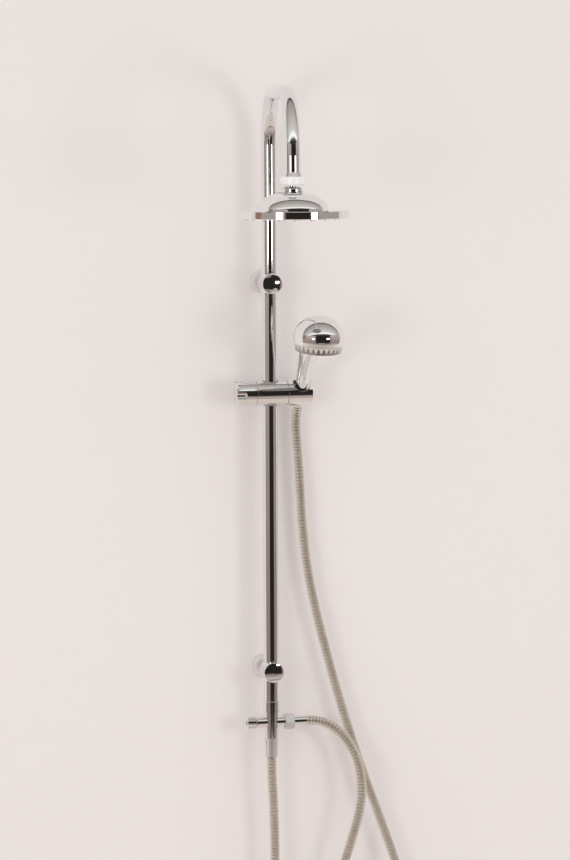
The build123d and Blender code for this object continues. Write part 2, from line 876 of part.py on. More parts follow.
# Holder: a barrel with a leaning conical hole, open to the right for the hose
holder_x = 45.0
liner_top = 14.0
liner_bottom = -18.0
liner_top_radius = 11.9
liner_bottom_radius = 9.6
liner_wall = 1.5
hose_slot = 15.5

lean = radians(handset_lean)
holder_origin = slider_centre + Vector(holder_x, 0, 0)
holder = Plane(origin=holder_origin, x_dir=(1, 0, 0), z_dir=(0, -sin(lean), cos(lean)))
cone_slope = (liner_top_radius - liner_bottom_radius) / (liner_top - liner_bottom)


def liner_radius(height):
    return liner_top_radius - (liner_top - height) * cone_slope


def cone_through(extra):
    # The holder's conical hole, made larger by the given amount
    end = barrel_radius + 2 * cut_past
    return turned(holder, [
        (0, -end),
        (liner_radius(-end) + extra, -end),
        (liner_radius(end) + extra, end),
        (0, end),
    ])


slot_length = barrel_end - holder_x + 2 * cut_past
slot_box = Plane(
    origin=holder_origin + Vector(slot_length / 2, 0, 0), x_dir=(1, 0, 0), z_dir=holder.z_dir
)

with BuildPart() as holder_barrel:
    add(drum(barrel_start, barrel_end, small_round, edge_round).part)
    add(cone_through(liner_wall + running_fit).part, mode=Mode.SUBTRACT)
    with Locations(slot_box):
        Box(slot_length, hose_slot, 2 * barrel_diameter, mode=Mode.SUBTRACT)
    with BuildSketch(across.offset(barrel_start)):
        Circle(lock_screw_radius + running_fit)
    extrude(amount=holder_head_start - barrel_start, mode=Mode.SUBTRACT)
    with BuildSketch(across.offset(holder_head_start)):
        Circle(holder_head + easy_fit)
    extrude(amount=holder_x - holder_head_start - liner_bottom_radius, mode=Mode.SUBTRACT)
finish(holder_barrel, "holder_barrel")

with BuildPart() as holder_liner:
    add(cone_through(liner_wall).part)
    add(cone_through(0).part, mode=Mode.SUBTRACT)
    with Locations(slot_box):
        Box(slot_length, hose_slot, 2 * barrel_diameter, mode=Mode.SUBTRACT)
    add(turned(across, [
        (0, barrel_start),
        (barrel_radius - easy_fit, barrel_start),
        (barrel_radius - easy_fit, barrel_end),
        (0, barrel_end),
    ]).part, mode=Mode.INTERSECT)
finish(holder_liner, "holder_liner")

# Hand shower: its cone nut sits in the liner, the handle screws into the nut
nut_top = 12.0
nut_tail = 21.0
handle_thread = 9.2
handle_foot_radius = 9.6
handset_skirt = 15.6
handset_seat = Plane(origin=holder_origin, x_dir=(1, 0, 0), z_dir=-holder.z_dir)
cone_nut(
    "handset_hose", handset_seat, nut_top, nut_tail, handle_thread + easy_fit,
    liner_radius(nut_top) - loose_gap, liner_radius(-nut_tail) - loose_gap, 0,
)
handset_exit = hose_fittings("handset_hose", handset_seat, handle_thread - easy_fit, handset_skirt)



def finish_in_hand(piece, name):
    # The hand shower is drawn straight and turned a little in its holder when it's finished
    piece.part = piece.part.rotate(Axis(holder.origin, holder.z_dir), handset_turn)
    finish(piece, name)


# Handle and head; the head's plane is the seam under its cap
straight_end = 25.0
handle_bend = 230.0
handle_last_angle = 52.0
handle_bore = 3.2
head_forward = 126.0
head_up = 89.0
head_tilt = 9.0
head_radius = 36.0
cap_height = 31.0
band_height = 8.0
band_bottom_radius = 35.3
chamber_radius = 31.0
chamber_depth = 4.0

tilt = radians(head_tilt)
head = Plane(
    origin=slider_centre + Vector(holder_x, -head_forward, head_up),
    x_dir=(1, 0, 0),
    z_dir=(0, -sin(tilt), cos(tilt)),
)


def on_handle(angle):
    # The handle's centre where its direction leans this far from upright
    start = holder_origin + holder.z_dir * straight_end
    out = handle_bend * (cos(lean) - cos(radians(angle)))
    up = handle_bend * (sin(radians(angle)) - sin(lean))
    return start + Vector(0, -out, up)


def across_handle(centre, angle):
    direction = (0, -sin(radians(angle)), cos(radians(angle)))
    return Plane(origin=centre, x_dir=(1, 0, 0), z_dir=direction)


def behind_head(back, down):
    return head.origin + head.y_dir * back - head.z_dir * down


middle_angle = (handset_lean + handle_last_angle) / 2
# Centre, lean, half width and half depth of each section
handle_sections = [
    (holder_origin + holder.z_dir * nut_top, handset_lean, handle_foot_radius, handle_foot_radius),
    (on_handle(handset_lean), handset_lean, 10.2, 10.2),
    (on_handle(middle_angle), middle_angle, 12.4, 11.8),
    (on_handle(handle_last_angle), handle_last_angle, 14.8, 13.2),
    (behind_head(34.5, 6), handle_last_angle, 16.5, 11.0),
    (behind_head(24, band_height / 2), 90 + head_tilt, 15.0, 3.6),
]

with BuildPart() as handset_body:
    for centre, angle, half_width, half_depth in handle_sections:
        with BuildSketch(across_handle(centre, angle)):
            Ellipse(half_width, half_depth)
    loft()
    # Room for the selector ring and the cap
    with BuildSketch(head.offset(-band_height)):
        Circle(band_bottom_radius)
    extrude(amount=-2 * head_radius, mode=Mode.SUBTRACT)
    with BuildSketch(head):
        Circle(head_radius + easy_fit)
    extrude(amount=cap_height, mode=Mode.SUBTRACT)
    add(turned(head, [
        (0, -band_height),
        (band_bottom_radius, -band_height),
        (head_radius, 0),
        (chamber_radius, 0),
        (chamber_radius, -chamber_depth),
        (0, -chamber_depth),
    ]).part)
    with BuildSketch(holder):
        Circle(handle_thread)
    extrude(amount=nut_top)
    # Waterway up the handle into the chamber, and down through its floor
    chamber_inlet = behind_head(30.5, 1.5)
    half_bend = radians(handle_last_angle - handset_lean) / 2
    water_corner = on_handle(handset_lean) + holder.z_dir * handle_bend * tan(half_bend)
    with BuildLine() as water_line:
        FilletPolyline(holder_origin, water_corner, chamber_inlet, radius=handle_bend)
    with BuildSketch(holder):
        Circle(handle_bore)
    sweep(path=water_line.line, mode=Mode.SUBTRACT)
    with BuildSketch(head):
        Circle(handle_bore)
    extrude(amount=-2 * band_height, mode=Mode.SUBTRACT)
finish_in_hand(handset_body, "handset_body")

cap_wall_thickness = 2.0


def half_dome(radius, height):
    # Upright at the origin, to be placed on the head's plane; the spline follows an ellipse
    angles = [radians(angle) for angle in (0, 30, 60, 90)]
    outline = [(radius * cos(angle), height * sin(angle)) for angle in angles]
    with BuildPart() as dome:
        with BuildSketch(Plane.XZ):
            with BuildLine():
                Spline(*outline[:-1], (0, height), tangents=((0, 1), (-1, 0)))
                Polyline((0, height), (0, 0), (radius, 0))
            make_face()
        revolve(axis=Axis.Z)
    return dome.part


outer_dome = half_dome(head_radius, cap_height)
inner_dome = half_dome(chamber_radius, cap_height - cap_wall_thickness)
with BuildPart() as head_cap:
    with Locations(head):
        add(outer_dome)
        add(inner_dome, mode=Mode.SUBTRACT)
finish_in_hand(head_cap, "head_cap")

# Selector ring with grips that fade out downwards, held between the body and the spray plate
ring_bottom = -19.0
ring_top_radius = 34.6
ring_bottom_radius = 32.5
ring_grips = 28
grip_depth = 3.0
grip_shallow = 0.6
plate_edge = 27.0
plate_top = -17.0
plate_bottom = -19.5
distributor_radius = 24.0
lip_thickness = 2.5
distributor_cup = 2.0

with BuildPart() as selector_ring:
    add(turned(head, [
        (plate_edge + easy_fit, ring_bottom),
        (ring_bottom_radius, ring_bottom),
        (ring_top_radius, -band_height - seam_gap),
        (plate_edge + easy_fit, -band_height - seam_gap),
        (plate_edge + easy_fit, plate_top + easy_fit + lip_thickness),
        (distributor_radius + easy_fit, plate_top + easy_fit + lip_thickness),
        (distributor_radius + easy_fit, plate_top + easy_fit),
        (plate_edge + easy_fit, plate_top + easy_fit),
    ]).part)
    with BuildSketch(head.offset(ring_bottom)):
        with PolarLocations(ring_top_radius + grip_shallow, ring_grips):
            RegularPolygon(grip_depth, 3, rotation=180)
    extrude(amount=-ring_bottom, mode=Mode.SUBTRACT)
finish_in_hand(selector_ring, "selector_ring")

with BuildPart() as spray_distributor:
    add(ring(head, handle_bore, distributor_radius, plate_top, -band_height).part)
    with BuildSketch(head.offset(plate_top)):
        Circle(distributor_radius - distributor_cup)
    extrude(amount=distributor_cup, mode=Mode.SUBTRACT)
finish_in_hand(spray_distributor, "spray_distributor")

with BuildPart() as spray_plate:
    with BuildSketch(head.offset(plate_bottom)):
        Circle(plate_edge)
    extrude(amount=plate_top - plate_bottom)
finish_in_hand(spray_plate, "spray_plate")

spray_rings = 2
spray_step = 10.0
spray_tip = 1.5
spray_tip_radius = 0.7
spray_root_radius = 1.1
with BuildPart() as handset_nozzles:
    for number in range(1, spray_rings + 1):
        with Locations(head.offset(plate_bottom - spray_tip / 2)):
            with PolarLocations(spray_step * number, 8 * number):
                Cone(spray_tip_radius, spray_root_radius, spray_tip)
finish_in_hand(handset_nozzles, "handset_nozzles")


# Hoses: straight runs joined by tangent arcs, each arc as large as its two runs allow
run_share = 0.45
hose_inner = 5.0
rib_depth = 0.7
rib_shape = [
    (0.0, hose_radius - rib_depth),
    (0.12, hose_radius - rib_depth),
    (0.25, hose_radius),
    (0.87, hose_radius),
]


def bend_radii(route):
    # One radius for each inner point of the route
    radii = []
    for before, here, after in zip(route, route[1:], route[2:]):
        run_in = Vector(here) - Vector(before)
        run_out = Vector(after) - Vector(here)
        turn = radians(run_in.get_angle(run_out))
        radii.append(run_share * min(run_in.length, run_out.length) / tan(turn / 2))
    return radii


def rib_section(line, along, radius):
    # A circle square to the hose, its X axis kept steady all the way
    here = line.position_at(along, position_mode=PositionMode.LENGTH)
    tangent = line.tangent_at(along, position_mode=PositionMode.LENGTH)
    steady = tangent.cross(Vector(0, 1, 0)).normalized()
    with BuildSketch(Plane(origin=here, x_dir=steady, z_dir=tangent)) as section:
        Circle(radius)
    return section.sketch.face()


def hose(route, name, ribs):
    # A bored hose: plain for one diameter at each end, ribbed by one ruled loft between them
    radii = bend_radii(route)
    with BuildLine() as hose_line:
        FilletPolyline(*route, radius=radii)
    line = hose_line.wire()
    pitch = (line.length - 2 * hose_diameter) / ribs
    sections = [rib_section(line, 0, hose_radius)]
    for number in range(ribs):
        rib_start = hose_diameter + number * pitch
        for share, radius in rib_shape:
            sections.append(rib_section(line, rib_start + share * pitch, radius))
    sections.append(rib_section(line, line.length, hose_radius))
    with BuildPart() as tube:
        loft(sections=sections, ruled=True)
        with BuildSketch(Plane(origin=line @ 0, z_dir=line % 0)):
            Circle(hose_inner)
        sweep(path=line, mode=Mode.SUBTRACT)
    finish(tube, name)
    section = tube.part.volume / line.length
    print(name, "length", round(line.length), "pitch", round(pitch, 2), "section", round(section, 2))
    print("radii", [round(radius) for radius in radii])


handset_straight = 16.0
outlet_straight = 14.7
inlet_straight = 30.0

# From the hand shower down behind the outlet, round a free loop and up to the diverter
shower_route = [
    handset_exit,
    handset_exit + handset_seat.z_dir * handset_straight,
    (45.6, -14.6, 361),
    (47.2, -14.6, 335),
    (51, -15.5, 285),
    (54, -16.5, 215),
    (63, -20, 130),
    (86, -24, 30),
    (113, -28, -70),
    (145, -32, -170),
    (181, -37, -268),
    (207, -41, -352),
    (215.5, -43, -425),
    (214.7, -45, -474.6),
    (183, -48, -512.4),
    (134.5, -52, -520.9),
    (91.8, -56, -496.3),
    (75, -59, -450),
    (78, -61.5, -392),
    (94, -64, -320),
    (114, -65, -262),
    (131, -66, -203),
    (131.5, -65.5, -165),
    (125, -62.5, -132),
    (113, -58, -108),
    (98, -53.5, -91),
    (82, -50, -80.5),
    outlet_exit + outlet_seat.z_dir * outlet_straight,
    outlet_exit,
]
hose(shower_route, "shower_hose", 60)

tail_skirt = 14.0
tail_height = -600.0
inlet_route = [
    inlet_exit,
    (0, -stand_off, inlet_exit.Z - inlet_straight),
    (2.6, -stand_off, -195),
    (5, -stand_off + 0.6, -270),
    (3.4, -stand_off + 0.3, -370),
    (0.8, -stand_off - 0.4, -470),
    (0, -stand_off, tail_height + 50),
    (0, -stand_off, tail_height),
]
hose(inlet_route, "inlet_hose", 20)

# The inlet hose's lower end, with the nut that screws onto the supply
tail_reach = hose_end_length(tail_skirt)
tail_seat = Plane(origin=(0, -stand_off, tail_height - tail_reach), x_dir=(1, 0, 0), z_dir=(0, 0, 1))
tail_thread = 10.2
tail_grip = 9.0
tail_flats = 24.0
hex_nut("tail", tail_seat, tail_grip, tail_thread, tail_flats)
hose_fittings("tail", tail_seat, tail_thread - easy_fit, tail_skirt)
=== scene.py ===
import bpy
import bmesh
import json
from math import cos, pi, radians, sin
from mathutils import Matrix, Vector


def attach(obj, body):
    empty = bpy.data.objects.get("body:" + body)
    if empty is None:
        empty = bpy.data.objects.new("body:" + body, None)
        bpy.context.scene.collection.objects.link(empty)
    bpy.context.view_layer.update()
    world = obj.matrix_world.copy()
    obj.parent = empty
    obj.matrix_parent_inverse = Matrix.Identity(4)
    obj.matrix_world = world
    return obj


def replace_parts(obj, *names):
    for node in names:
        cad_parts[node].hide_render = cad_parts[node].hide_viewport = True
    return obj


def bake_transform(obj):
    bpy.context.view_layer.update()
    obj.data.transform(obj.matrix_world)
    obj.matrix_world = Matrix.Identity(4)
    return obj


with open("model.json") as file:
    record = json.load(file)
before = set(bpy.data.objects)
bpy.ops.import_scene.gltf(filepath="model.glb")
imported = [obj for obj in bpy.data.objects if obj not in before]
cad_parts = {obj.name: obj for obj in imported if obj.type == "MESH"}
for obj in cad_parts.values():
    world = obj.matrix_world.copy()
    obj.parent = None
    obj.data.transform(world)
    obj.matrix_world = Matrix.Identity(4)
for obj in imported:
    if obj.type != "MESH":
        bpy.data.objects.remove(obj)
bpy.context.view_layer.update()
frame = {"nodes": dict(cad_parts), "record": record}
nodes = frame["nodes"]
mm = 0.001

# Camera: fitted to the photograph, in millimetres and degrees
camera = {
    "place": (-1020.5, -4476.0, 825.5),
    "turn": 13.248,  # from straight at the wall, towards the right
    "down": 5.942,
    "roll": -0.222,
    "lens": 132.26,
    "sensor": 36.0,
}


def makeCamera():
    turn, down, roll = (radians(camera[key]) for key in ("turn", "down", "roll"))
    ahead = Vector((sin(turn) * cos(down), cos(turn) * cos(down), -sin(down)))
    right = Vector((cos(turn), -sin(turn), 0))
    up = right.cross(ahead)
    rolledRight = right * cos(roll) + up * sin(roll)
    rolledUp = up * cos(roll) - right * sin(roll)
    data = bpy.data.cameras.new("photoCamera")
    data.lens = camera["lens"]
    data.sensor_width = camera["sensor"]
    data.sensor_fit = "AUTO"
    data.clip_end = 100
    eye = bpy.data.objects.new("photoCamera", data)
    bpy.context.scene.collection.objects.link(eye)
    turned = Matrix((rolledRight, rolledUp, -ahead)).transposed().to_4x4()
    eye.matrix_world = Matrix.Translation(Vector(camera["place"]) * mm) @ turned
    bpy.context.scene.camera = eye


makeCamera()
print("camera placed")


# Finishes: every one has its own mottled colour, roughness and fine surface
def newFinish(name, light, dark, metal, rough, roughSpread, mottle, grain, depth, stretch=(1, 1, 1), coat=0.0):
    finish = bpy.data.materials.new(name)
    finish.use_nodes = True
    tree = finish.node_tree
    shader = tree.nodes["Principled BSDF"]
    shader.inputs["Metallic"].default_value = metal
    shader.inputs["Coat Weight"].default_value = coat
    place = tree.nodes.new("ShaderNodeTexCoord")
    mapping = tree.nodes.new("ShaderNodeMapping")
    mapping.inputs["Scale"].default_value = stretch
    tree.links.new(place.outputs["Object"], mapping.inputs["Vector"])
    patches = tree.nodes.new("ShaderNodeTexNoise")
    patches.inputs["Scale"].default_value = mottle
    patches.inputs["Detail"].default_value = 4
    tree.links.new(mapping.outputs["Vector"], patches.inputs["Vector"])
    ramp = tree.nodes.new("ShaderNodeValToRGB")
    ramp.color_ramp.elements[0].position = 0.3
    ramp.color_ramp.elements[0].color = (*dark, 1)
    ramp.color_ramp.elements[1].position = 0.7
    ramp.color_ramp.elements[1].color = (*light, 1)
    tree.links.new(patches.outputs["Fac"], ramp.inputs["Fac"])
    tree.links.new(ramp.outputs["Color"], shader.inputs["Base Color"])
    fine = tree.nodes.new("ShaderNodeTexNoise")
    fine.inputs["Scale"].default_value = grain
    fine.inputs["Detail"].default_value = 3
    tree.links.new(mapping.outputs["Vector"], fine.inputs["Vector"])
    spread = tree.nodes.new("ShaderNodeMapRange")
    spread.inputs["To Min"].default_value = max(rough - roughSpread, 0.01)
    spread.inputs["To Max"].default_value = rough + roughSpread
    tree.links.new(fine.outputs["Fac"], spread.inputs["Value"])
    tree.links.new(spread.outputs["Result"], shader.inputs["Roughness"])
    bump = tree.nodes.new("ShaderNodeBump")
    bump.inputs["Strength"].default_value = 0.3
    bump.inputs["Distance"].default_value = depth
    tree.links.new(fine.outputs["Fac"], bump.inputs["Height"])
    tree.links.new(bump.outputs["Normal"], shader.inputs["Normal"])
    return finish


chromePlate = newFinish("chromePlate", (0.89, 0.89, 0.895), (0.82, 0.82, 0.83), 1, 0.06, 0.02, 9, 260, 0.000004)
satinChrome = newFinish("satinChrome", (0.72, 0.72, 0.73), (0.64, 0.64, 0.65), 1, 0.26, 0.05, 25, 900, 0.00001)
hoseSteel = newFinish("hoseSteel", (0.86, 0.80, 0.72), (0.77, 0.715, 0.64), 0.95, 0.22, 0.06, 60, 1400, 0.00001)
bareSteel = newFinish("bareSteel", (0.58, 0.58, 0.58), (0.45, 0.45, 0.46), 1, 0.32, 0.08, 60, 900, 0.00002)
turnedBrass = newFinish("turnedBrass", (0.80, 0.62, 0.32), (0.68, 0.50, 0.24), 1, 0.28, 0.06, 40, 900, 0.00002)
whiteNylon = newFinish("whiteNylon", (0.86, 0.86, 0.85), (0.80, 0.80, 0.79), 0, 0.38, 0.05, 60, 900, 0.00002)
greyPlastic = newFinish("greyPlastic", (0.30, 0.31, 0.32), (0.25, 0.26, 0.27), 0, 0.42, 0.06, 60, 1300, 0.00002)
softSilicone = newFinish("softSilicone", (0.55, 0.56, 0.57), (0.47, 0.48, 0.49), 0, 0.55, 0.06, 70, 900, 0.00002)
blackRubber = newFinish("blackRubber", (0.035, 0.035, 0.035), (0.02, 0.02, 0.02), 0, 0.62, 0.08, 60, 900, 0.00003)
glossWhite = newFinish("glossWhite", (0.98, 0.98, 0.97), (0.95, 0.95, 0.94), 0, 0.22, 0.04, 40, 900, 0.00001, coat=0.2)
# Pale satin: on the wall flanges their pale finish together with a painted reflection of the pale wall; on the selector
# ring's grip cuts a painted highlight
paleSatinAndPaintedSheen = newFinish("paleSatinAndPaintedSheen", (0.83, 0.80, 0.79), (0.78, 0.75, 0.74), 0.35, 0.3, 0.05, 20, 900, 0.00001)
# Darker chrome for the selector ring's body: painted shade
paintedShadeChrome = newFinish("paintedShadeChrome", (0.42, 0.40, 0.38), (0.34, 0.32, 0.30), 1, 0.16, 0.04, 25, 900, 0.00001)
smokedGloss = newFinish("smokedGloss", (0.10, 0.10, 0.10), (0.06, 0.06, 0.06), 0, 0.14, 0.03, 60, 900, 0.00001, coat=0.8)
# Darker steel for the hose's deep grooves: painted shade
paintedGrooveShade = newFinish("paintedGrooveShade", (0.20, 0.18, 0.16), (0.14, 0.125, 0.11), 1, 0.3, 0.06, 60, 1400, 0.00001)

finishOfSlot = {
    "chrome": chromePlate,
    "steel": bareSteel,
    "hose_steel": hoseSteel,
    "brass": turnedBrass,
    "white_plastic": whiteNylon,
    "nylon": whiteNylon,
    "grey_plastic": greyPlastic,
    "silicone": softSilicone,
    "rubber": blackRubber,
}
for part in frame["record"]["subparts"]:
    mesh = nodes[part["node"]].data
    mesh.materials.clear()
    mesh.materials.append(finishOfSlot[part["material_slot"]])
ownFinishes = {
    # The wall flanges' pale satin is partly their finish and partly a painted reflection of the pale wall
    "lower_wall_flange": paleSatinAndPaintedSheen,
    "upper_wall_flange": paleSatinAndPaintedSheen,
    "lower_bracket_pillar": chromePlate,
    "upper_bracket_pillar": chromePlate,
    "union_nut": glossWhite,
    "rail_bush": greyPlastic,
    "holder_liner": smokedGloss,
    "outlet_hose_nut": satinChrome,
}
for name, finish in ownFinishes.items():
    nodes[name].data.materials[0] = finish
print("finishes given")

# Hoses: routes in millimetres, as in the part's source
lean = radians(38)
handsetSeat = Vector((45, -48, 406))
downHose = Vector((0, sin(lean), -cos(lean)))
handsetExit = handsetSeat + downHose * 20.9
outletExit = Vector((27.6 + 23.7, -48, -76))
inletExit = Vector((0, -48, -110.4 - 12.3))
showerRoute = [
    handsetExit,
    handsetExit + downHose * 16,
    # Down to the seventh of these, up to 11 mm further from the wall than the solid, so that it clears the wall as the slider swivels
    (43.6, -23, 361),
    (44.8, -25, 335),
    (48.5, -26, 285),
    (51.7, -26.5, 215),
    (61.1, -28, 130),
    (84.7, -29.5, 30),
    (112.3, -31, -70),
    (145, -32, -170),
    (181, -37, -268),
    (207, -41, -352),
    (215.5, -43, -425),
    (214.7, -45, -474.6),
    (183, -48, -512.4),
    (134.5, -52, -520.9),
    (91.8, -56, -496.3),
    (75, -59, -450),
    (78, -61.5, -392),
    (94, -64, -320),
    (114, -65, -262),
    (131, -66, -203),
    (131.5, -65.5, -165),
    (125, -62.5, -132),
    (113, -58, -108),
    (98, -53.5, -91),
    (82, -50, -80.5),
    outletExit + Vector((14.7, 0, 0)),
    outletExit,
]
inletRoute = [
    inletExit,
    (0, -48, inletExit.z - 30),
    (2.6, -48, -195),
    (5, -47.4, -270),
    (3.4, -47.7, -370),
    (0.8, -48.4, -470),
    (0, -48, -550),
    (0, -48, -600),
]
hose = {
    "radius": 7.2,
    "pitch": 5.0,
    "grooveDepth": 1.25,
    "sides": 32,
    # Share of the pitch and share of the groove's depth: a crowned band and a groove
    "band": [(0.0, 1.0), (0.07, 0.95), (0.15, 0.40), (0.30, 0.08), (0.50, 0.0), (0.70, 0.08), (0.86, 0.40), (0.93, 0.95)],
    # Groove faces deeper than this share of the groove's depth take the darker steel, a painted shade
    "paintedShadeFrom": 0.8,
}


def smoothLine(route):
    # The route's own NURBS curve, read back as close points
    curve = bpy.data.curves.new("routeCurve", "CURVE")
    curve.dimensions = "3D"
    curve.resolution_u = 24
    spline = curve.splines.new("NURBS")
    spline.points.add(len(route) - 1)
    for point, place in zip(spline.points, route):
        point.co = (*(Vector(place) * mm), 1)
    spline.order_u = 3
    spline.use_endpoint_u = True
    holder = bpy.data.objects.new("routeCurve", curve)
    bpy.context.scene.collection.objects.link(holder)
    bpy.context.view_layer.update()
    mesh = bpy.data.meshes.new_from_object(holder)
    points = [vertex.co.copy() for vertex in mesh.vertices]
    bpy.data.objects.remove(holder)
    bpy.data.meshes.remove(mesh)
    bpy.data.curves.remove(curve)
    return points


def lengthsOf(points):
    lengths = [0.0]
    for before, here in zip(points, points[1:]):
        lengths.append(lengths[-1] + (here - before).length)
    return lengths


def pointAt(points, lengths, along):
    low, high = 0, len(lengths) - 1
    while high - low > 1:
        middle = (low + high) // 2
        if lengths[middle] <= along:
            low = middle
        else:
            high = middle
    run = lengths[high] - lengths[low]
    share = (along - lengths[low]) / run if run else 0
    return points[low].lerp(points[high], share), (points[high] - points[low]).normalized()


def hosePiece(name, points, lengths, start, end):
    # A ribbed tube along one stretch of the line, from one groove to another
    mesh = bpy.data.meshes.new(name)
    build = bmesh.new()
    sides = hose["sides"]
    pitch = hose["pitch"] * mm
    rings = []
    ribs = round((end - start) / pitch)
    step = (end - start) / ribs
    places = [start + (rib + share) * step for rib in range(ribs) for share, depth in hose["band"]]
    depths = [depth for rib in range(ribs) for share, depth in hose["band"]]
    places.append(end)
    depths.append(1.0)
    for along, depth in zip(places, depths):
        here, ahead = pointAt(points, lengths, along)
        before, _ = pointAt(points, lengths, max(along - pitch, 0))
        after, _ = pointAt(points, lengths, min(along + pitch, lengths[-1]))
        ahead = (after - before).normalized()
        across = ahead.cross(Vector((0, 1, 0))).normalized()
        other = ahead.cross(across).normalized()
        radius = (hose["radius"] - hose["grooveDepth"] * depth) * mm
        ring = []
        for side in range(sides):
            angle = 2 * pi * side / sides
            ring.append(build.verts.new(here + (across * cos(angle) + other * sin(angle)) * radius))
        rings.append(ring)
    for first, second, depth, nextDepth in zip(rings, rings[1:], depths, depths[1:]):
        # Faces deep in a groove take the second finish: painted shade in the grooves
        inPaintedGrooveShade = min(depth, nextDepth) > hose["paintedShadeFrom"]
        for side in range(sides):
            turn = (side + 1) % sides
            face = build.faces.new((first[side], first[turn], second[turn], second[side]))
            face.material_index = 1 if inPaintedGrooveShade else 0
    build.faces.new(rings[0][::-1])
    build.faces.new(rings[-1])
    bmesh.ops.recalc_face_normals(build, faces=build.faces)
    for face in build.faces:
        face.smooth = len(face.verts) == 4
    build.to_mesh(mesh)
    build.free()
    mesh.materials.append(hoseSteel)
    mesh.materials.append(paintedGrooveShade)
    piece = bpy.data.objects.new(name, mesh)
    bpy.context.scene.collection.objects.link(piece)
    path = [points[0].copy()] if start == 0 else [pointAt(points, lengths, start)[0]]
    path += [point for point, length in zip(points, lengths) if start < length < end]
    path.append(pointAt(points, lengths, end)[0])
    return piece, path


# The hand shower's hose crosses four joints, so it is five pieces that meet in grooves.
# Each entry: name, where it ends as a share of metres from the hand shower, and its two bodies.
showerPoints = smoothLine(showerRoute)
showerLengths = lengthsOf(showerPoints)
showerLength = showerLengths[-1]
print("shower hose line", round(showerLength, 3))
stretches = [
    ("handset", 0.088, "holder", "handset"),
    ("holder", 0.176, "slider", "holder"),
    ("slider", 0.300, "rail_bush", "slider"),
    ("loop", 1.120, "rail_bush", None),
    ("outlet", showerLength, "wall_frame", "rail_bush"),
]
start = 0.0
for name, end, upperBody, lowerBody in stretches:
    piece, path = hosePiece("showerHose_" + name, showerPoints, showerLengths, start, end)
    if lowerBody is None:
        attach(piece, upperBody)
    elif name == "outlet":
        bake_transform(piece)
    else:
        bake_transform(piece)
    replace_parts(piece, "shower_hose")
    start = end

inletPoints = smoothLine(inletRoute)
inletLengths = lengthsOf(inletPoints)
piece, path = hosePiece("inletHose", inletPoints, inletLengths, 0.0, inletLengths[-1])
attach(piece, "wall_frame")
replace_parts(piece, "inlet_hose")
print("hoses made")

# Ball caps: the photo shows them as low domed buttons on the front of the eyes
button = {
    "radius": 14.7,
    "side": 5.5,
    "rise": 2.0,
    "front": 61.45,
    "segments": 96,
    "rings": 128,
    "ease": 0.6,
    "heights": {"lower_ball_cap": 0.0, "upper_ball_cap": 565.0},
}


def domedButton(name, height):
    # The cap of a large ball, its rim drawn back to the eye and closed there
    radius, rise = button["radius"], button["rise"]
    ballRadius = (radius**2 + rise**2) / (2 * rise)
    rim = -button["front"] - button["side"]
    middle = rim - rise + ballRadius
    bpy.ops.object.select_all(action="DESELECT")
    bpy.ops.mesh.primitive_uv_sphere_add(
        segments=button["segments"],
        ring_count=button["rings"],
        radius=ballRadius * mm,
        rotation=(pi / 2, 0, 0),
        location=(0, middle * mm, height * mm),
    )
    piece = bpy.context.active_object
    piece.name = name
    bpy.ops.object.transform_apply(location=True, rotation=True, scale=True)
    bpy.ops.object.mode_set(mode="EDIT")
    bpy.ops.mesh.select_all(action="SELECT")
    bpy.ops.mesh.bisect(plane_co=(0, rim * mm, height * mm), plane_no=(0, 1, 0), clear_outer=True)
    bpy.ops.mesh.extrude_region_move(TRANSFORM_OT_translate={"value": (0, button["side"] * mm, 0)})
    bpy.ops.mesh.edge_face_add()
    bpy.ops.mesh.select_all(action="SELECT")
    bpy.ops.mesh.normals_make_consistent(inside=False)
    bpy.ops.object.mode_set(mode="OBJECT")
    edges = piece.modifiers.new("easedRim", "BEVEL")
    edges.width = button["ease"] * mm
    edges.segments = 3
    edges.limit_method = "ANGLE"
    edges.angle_limit = radians(40)
    bpy.ops.object.modifier_apply(modifier="easedRim")
    bpy.ops.object.shade_smooth_by_angle(angle=radians(35))
    piece.data.materials.append(chromePlate)
    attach(piece, "wall_frame")
    return piece


for name, height in button["heights"].items():
    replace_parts(domedButton(name + "Button", height), name)
print("buttons made")

# The hand shower's head, about its own axis: the cap's rim laps the body, the ring's grips narrow downwards
showerHead = {
    "seam": (41.974, -173.919, 495.063),
    "axis": (0.0329745, -0.1573192, 0.9869971),
    "capRadius": 36.3,
    "capHeight": 31.0,
    "capInside": (34.0, 29.0),
    "capTurns": 24,
    "capSteps": 144,
    "rim": [(36.3, -1.6), (36.2, -3.2), (35.95, -4.6), (35.62, -5.8), (35.5, -6.0), (36.06, -3.0), (36.06, 0.05)],
    "ringTop": (34.9, -8.08),
    "ringBottom": (32.5, -19.0),
    "ringInside": 27.5,
    "ringLevels": 12,
    "grips": 28,
    "gripSteps": 12,
    "gripDepth": 2.3,
    "gripReach": 8.0,
    "gripHalf": 0.44,
}


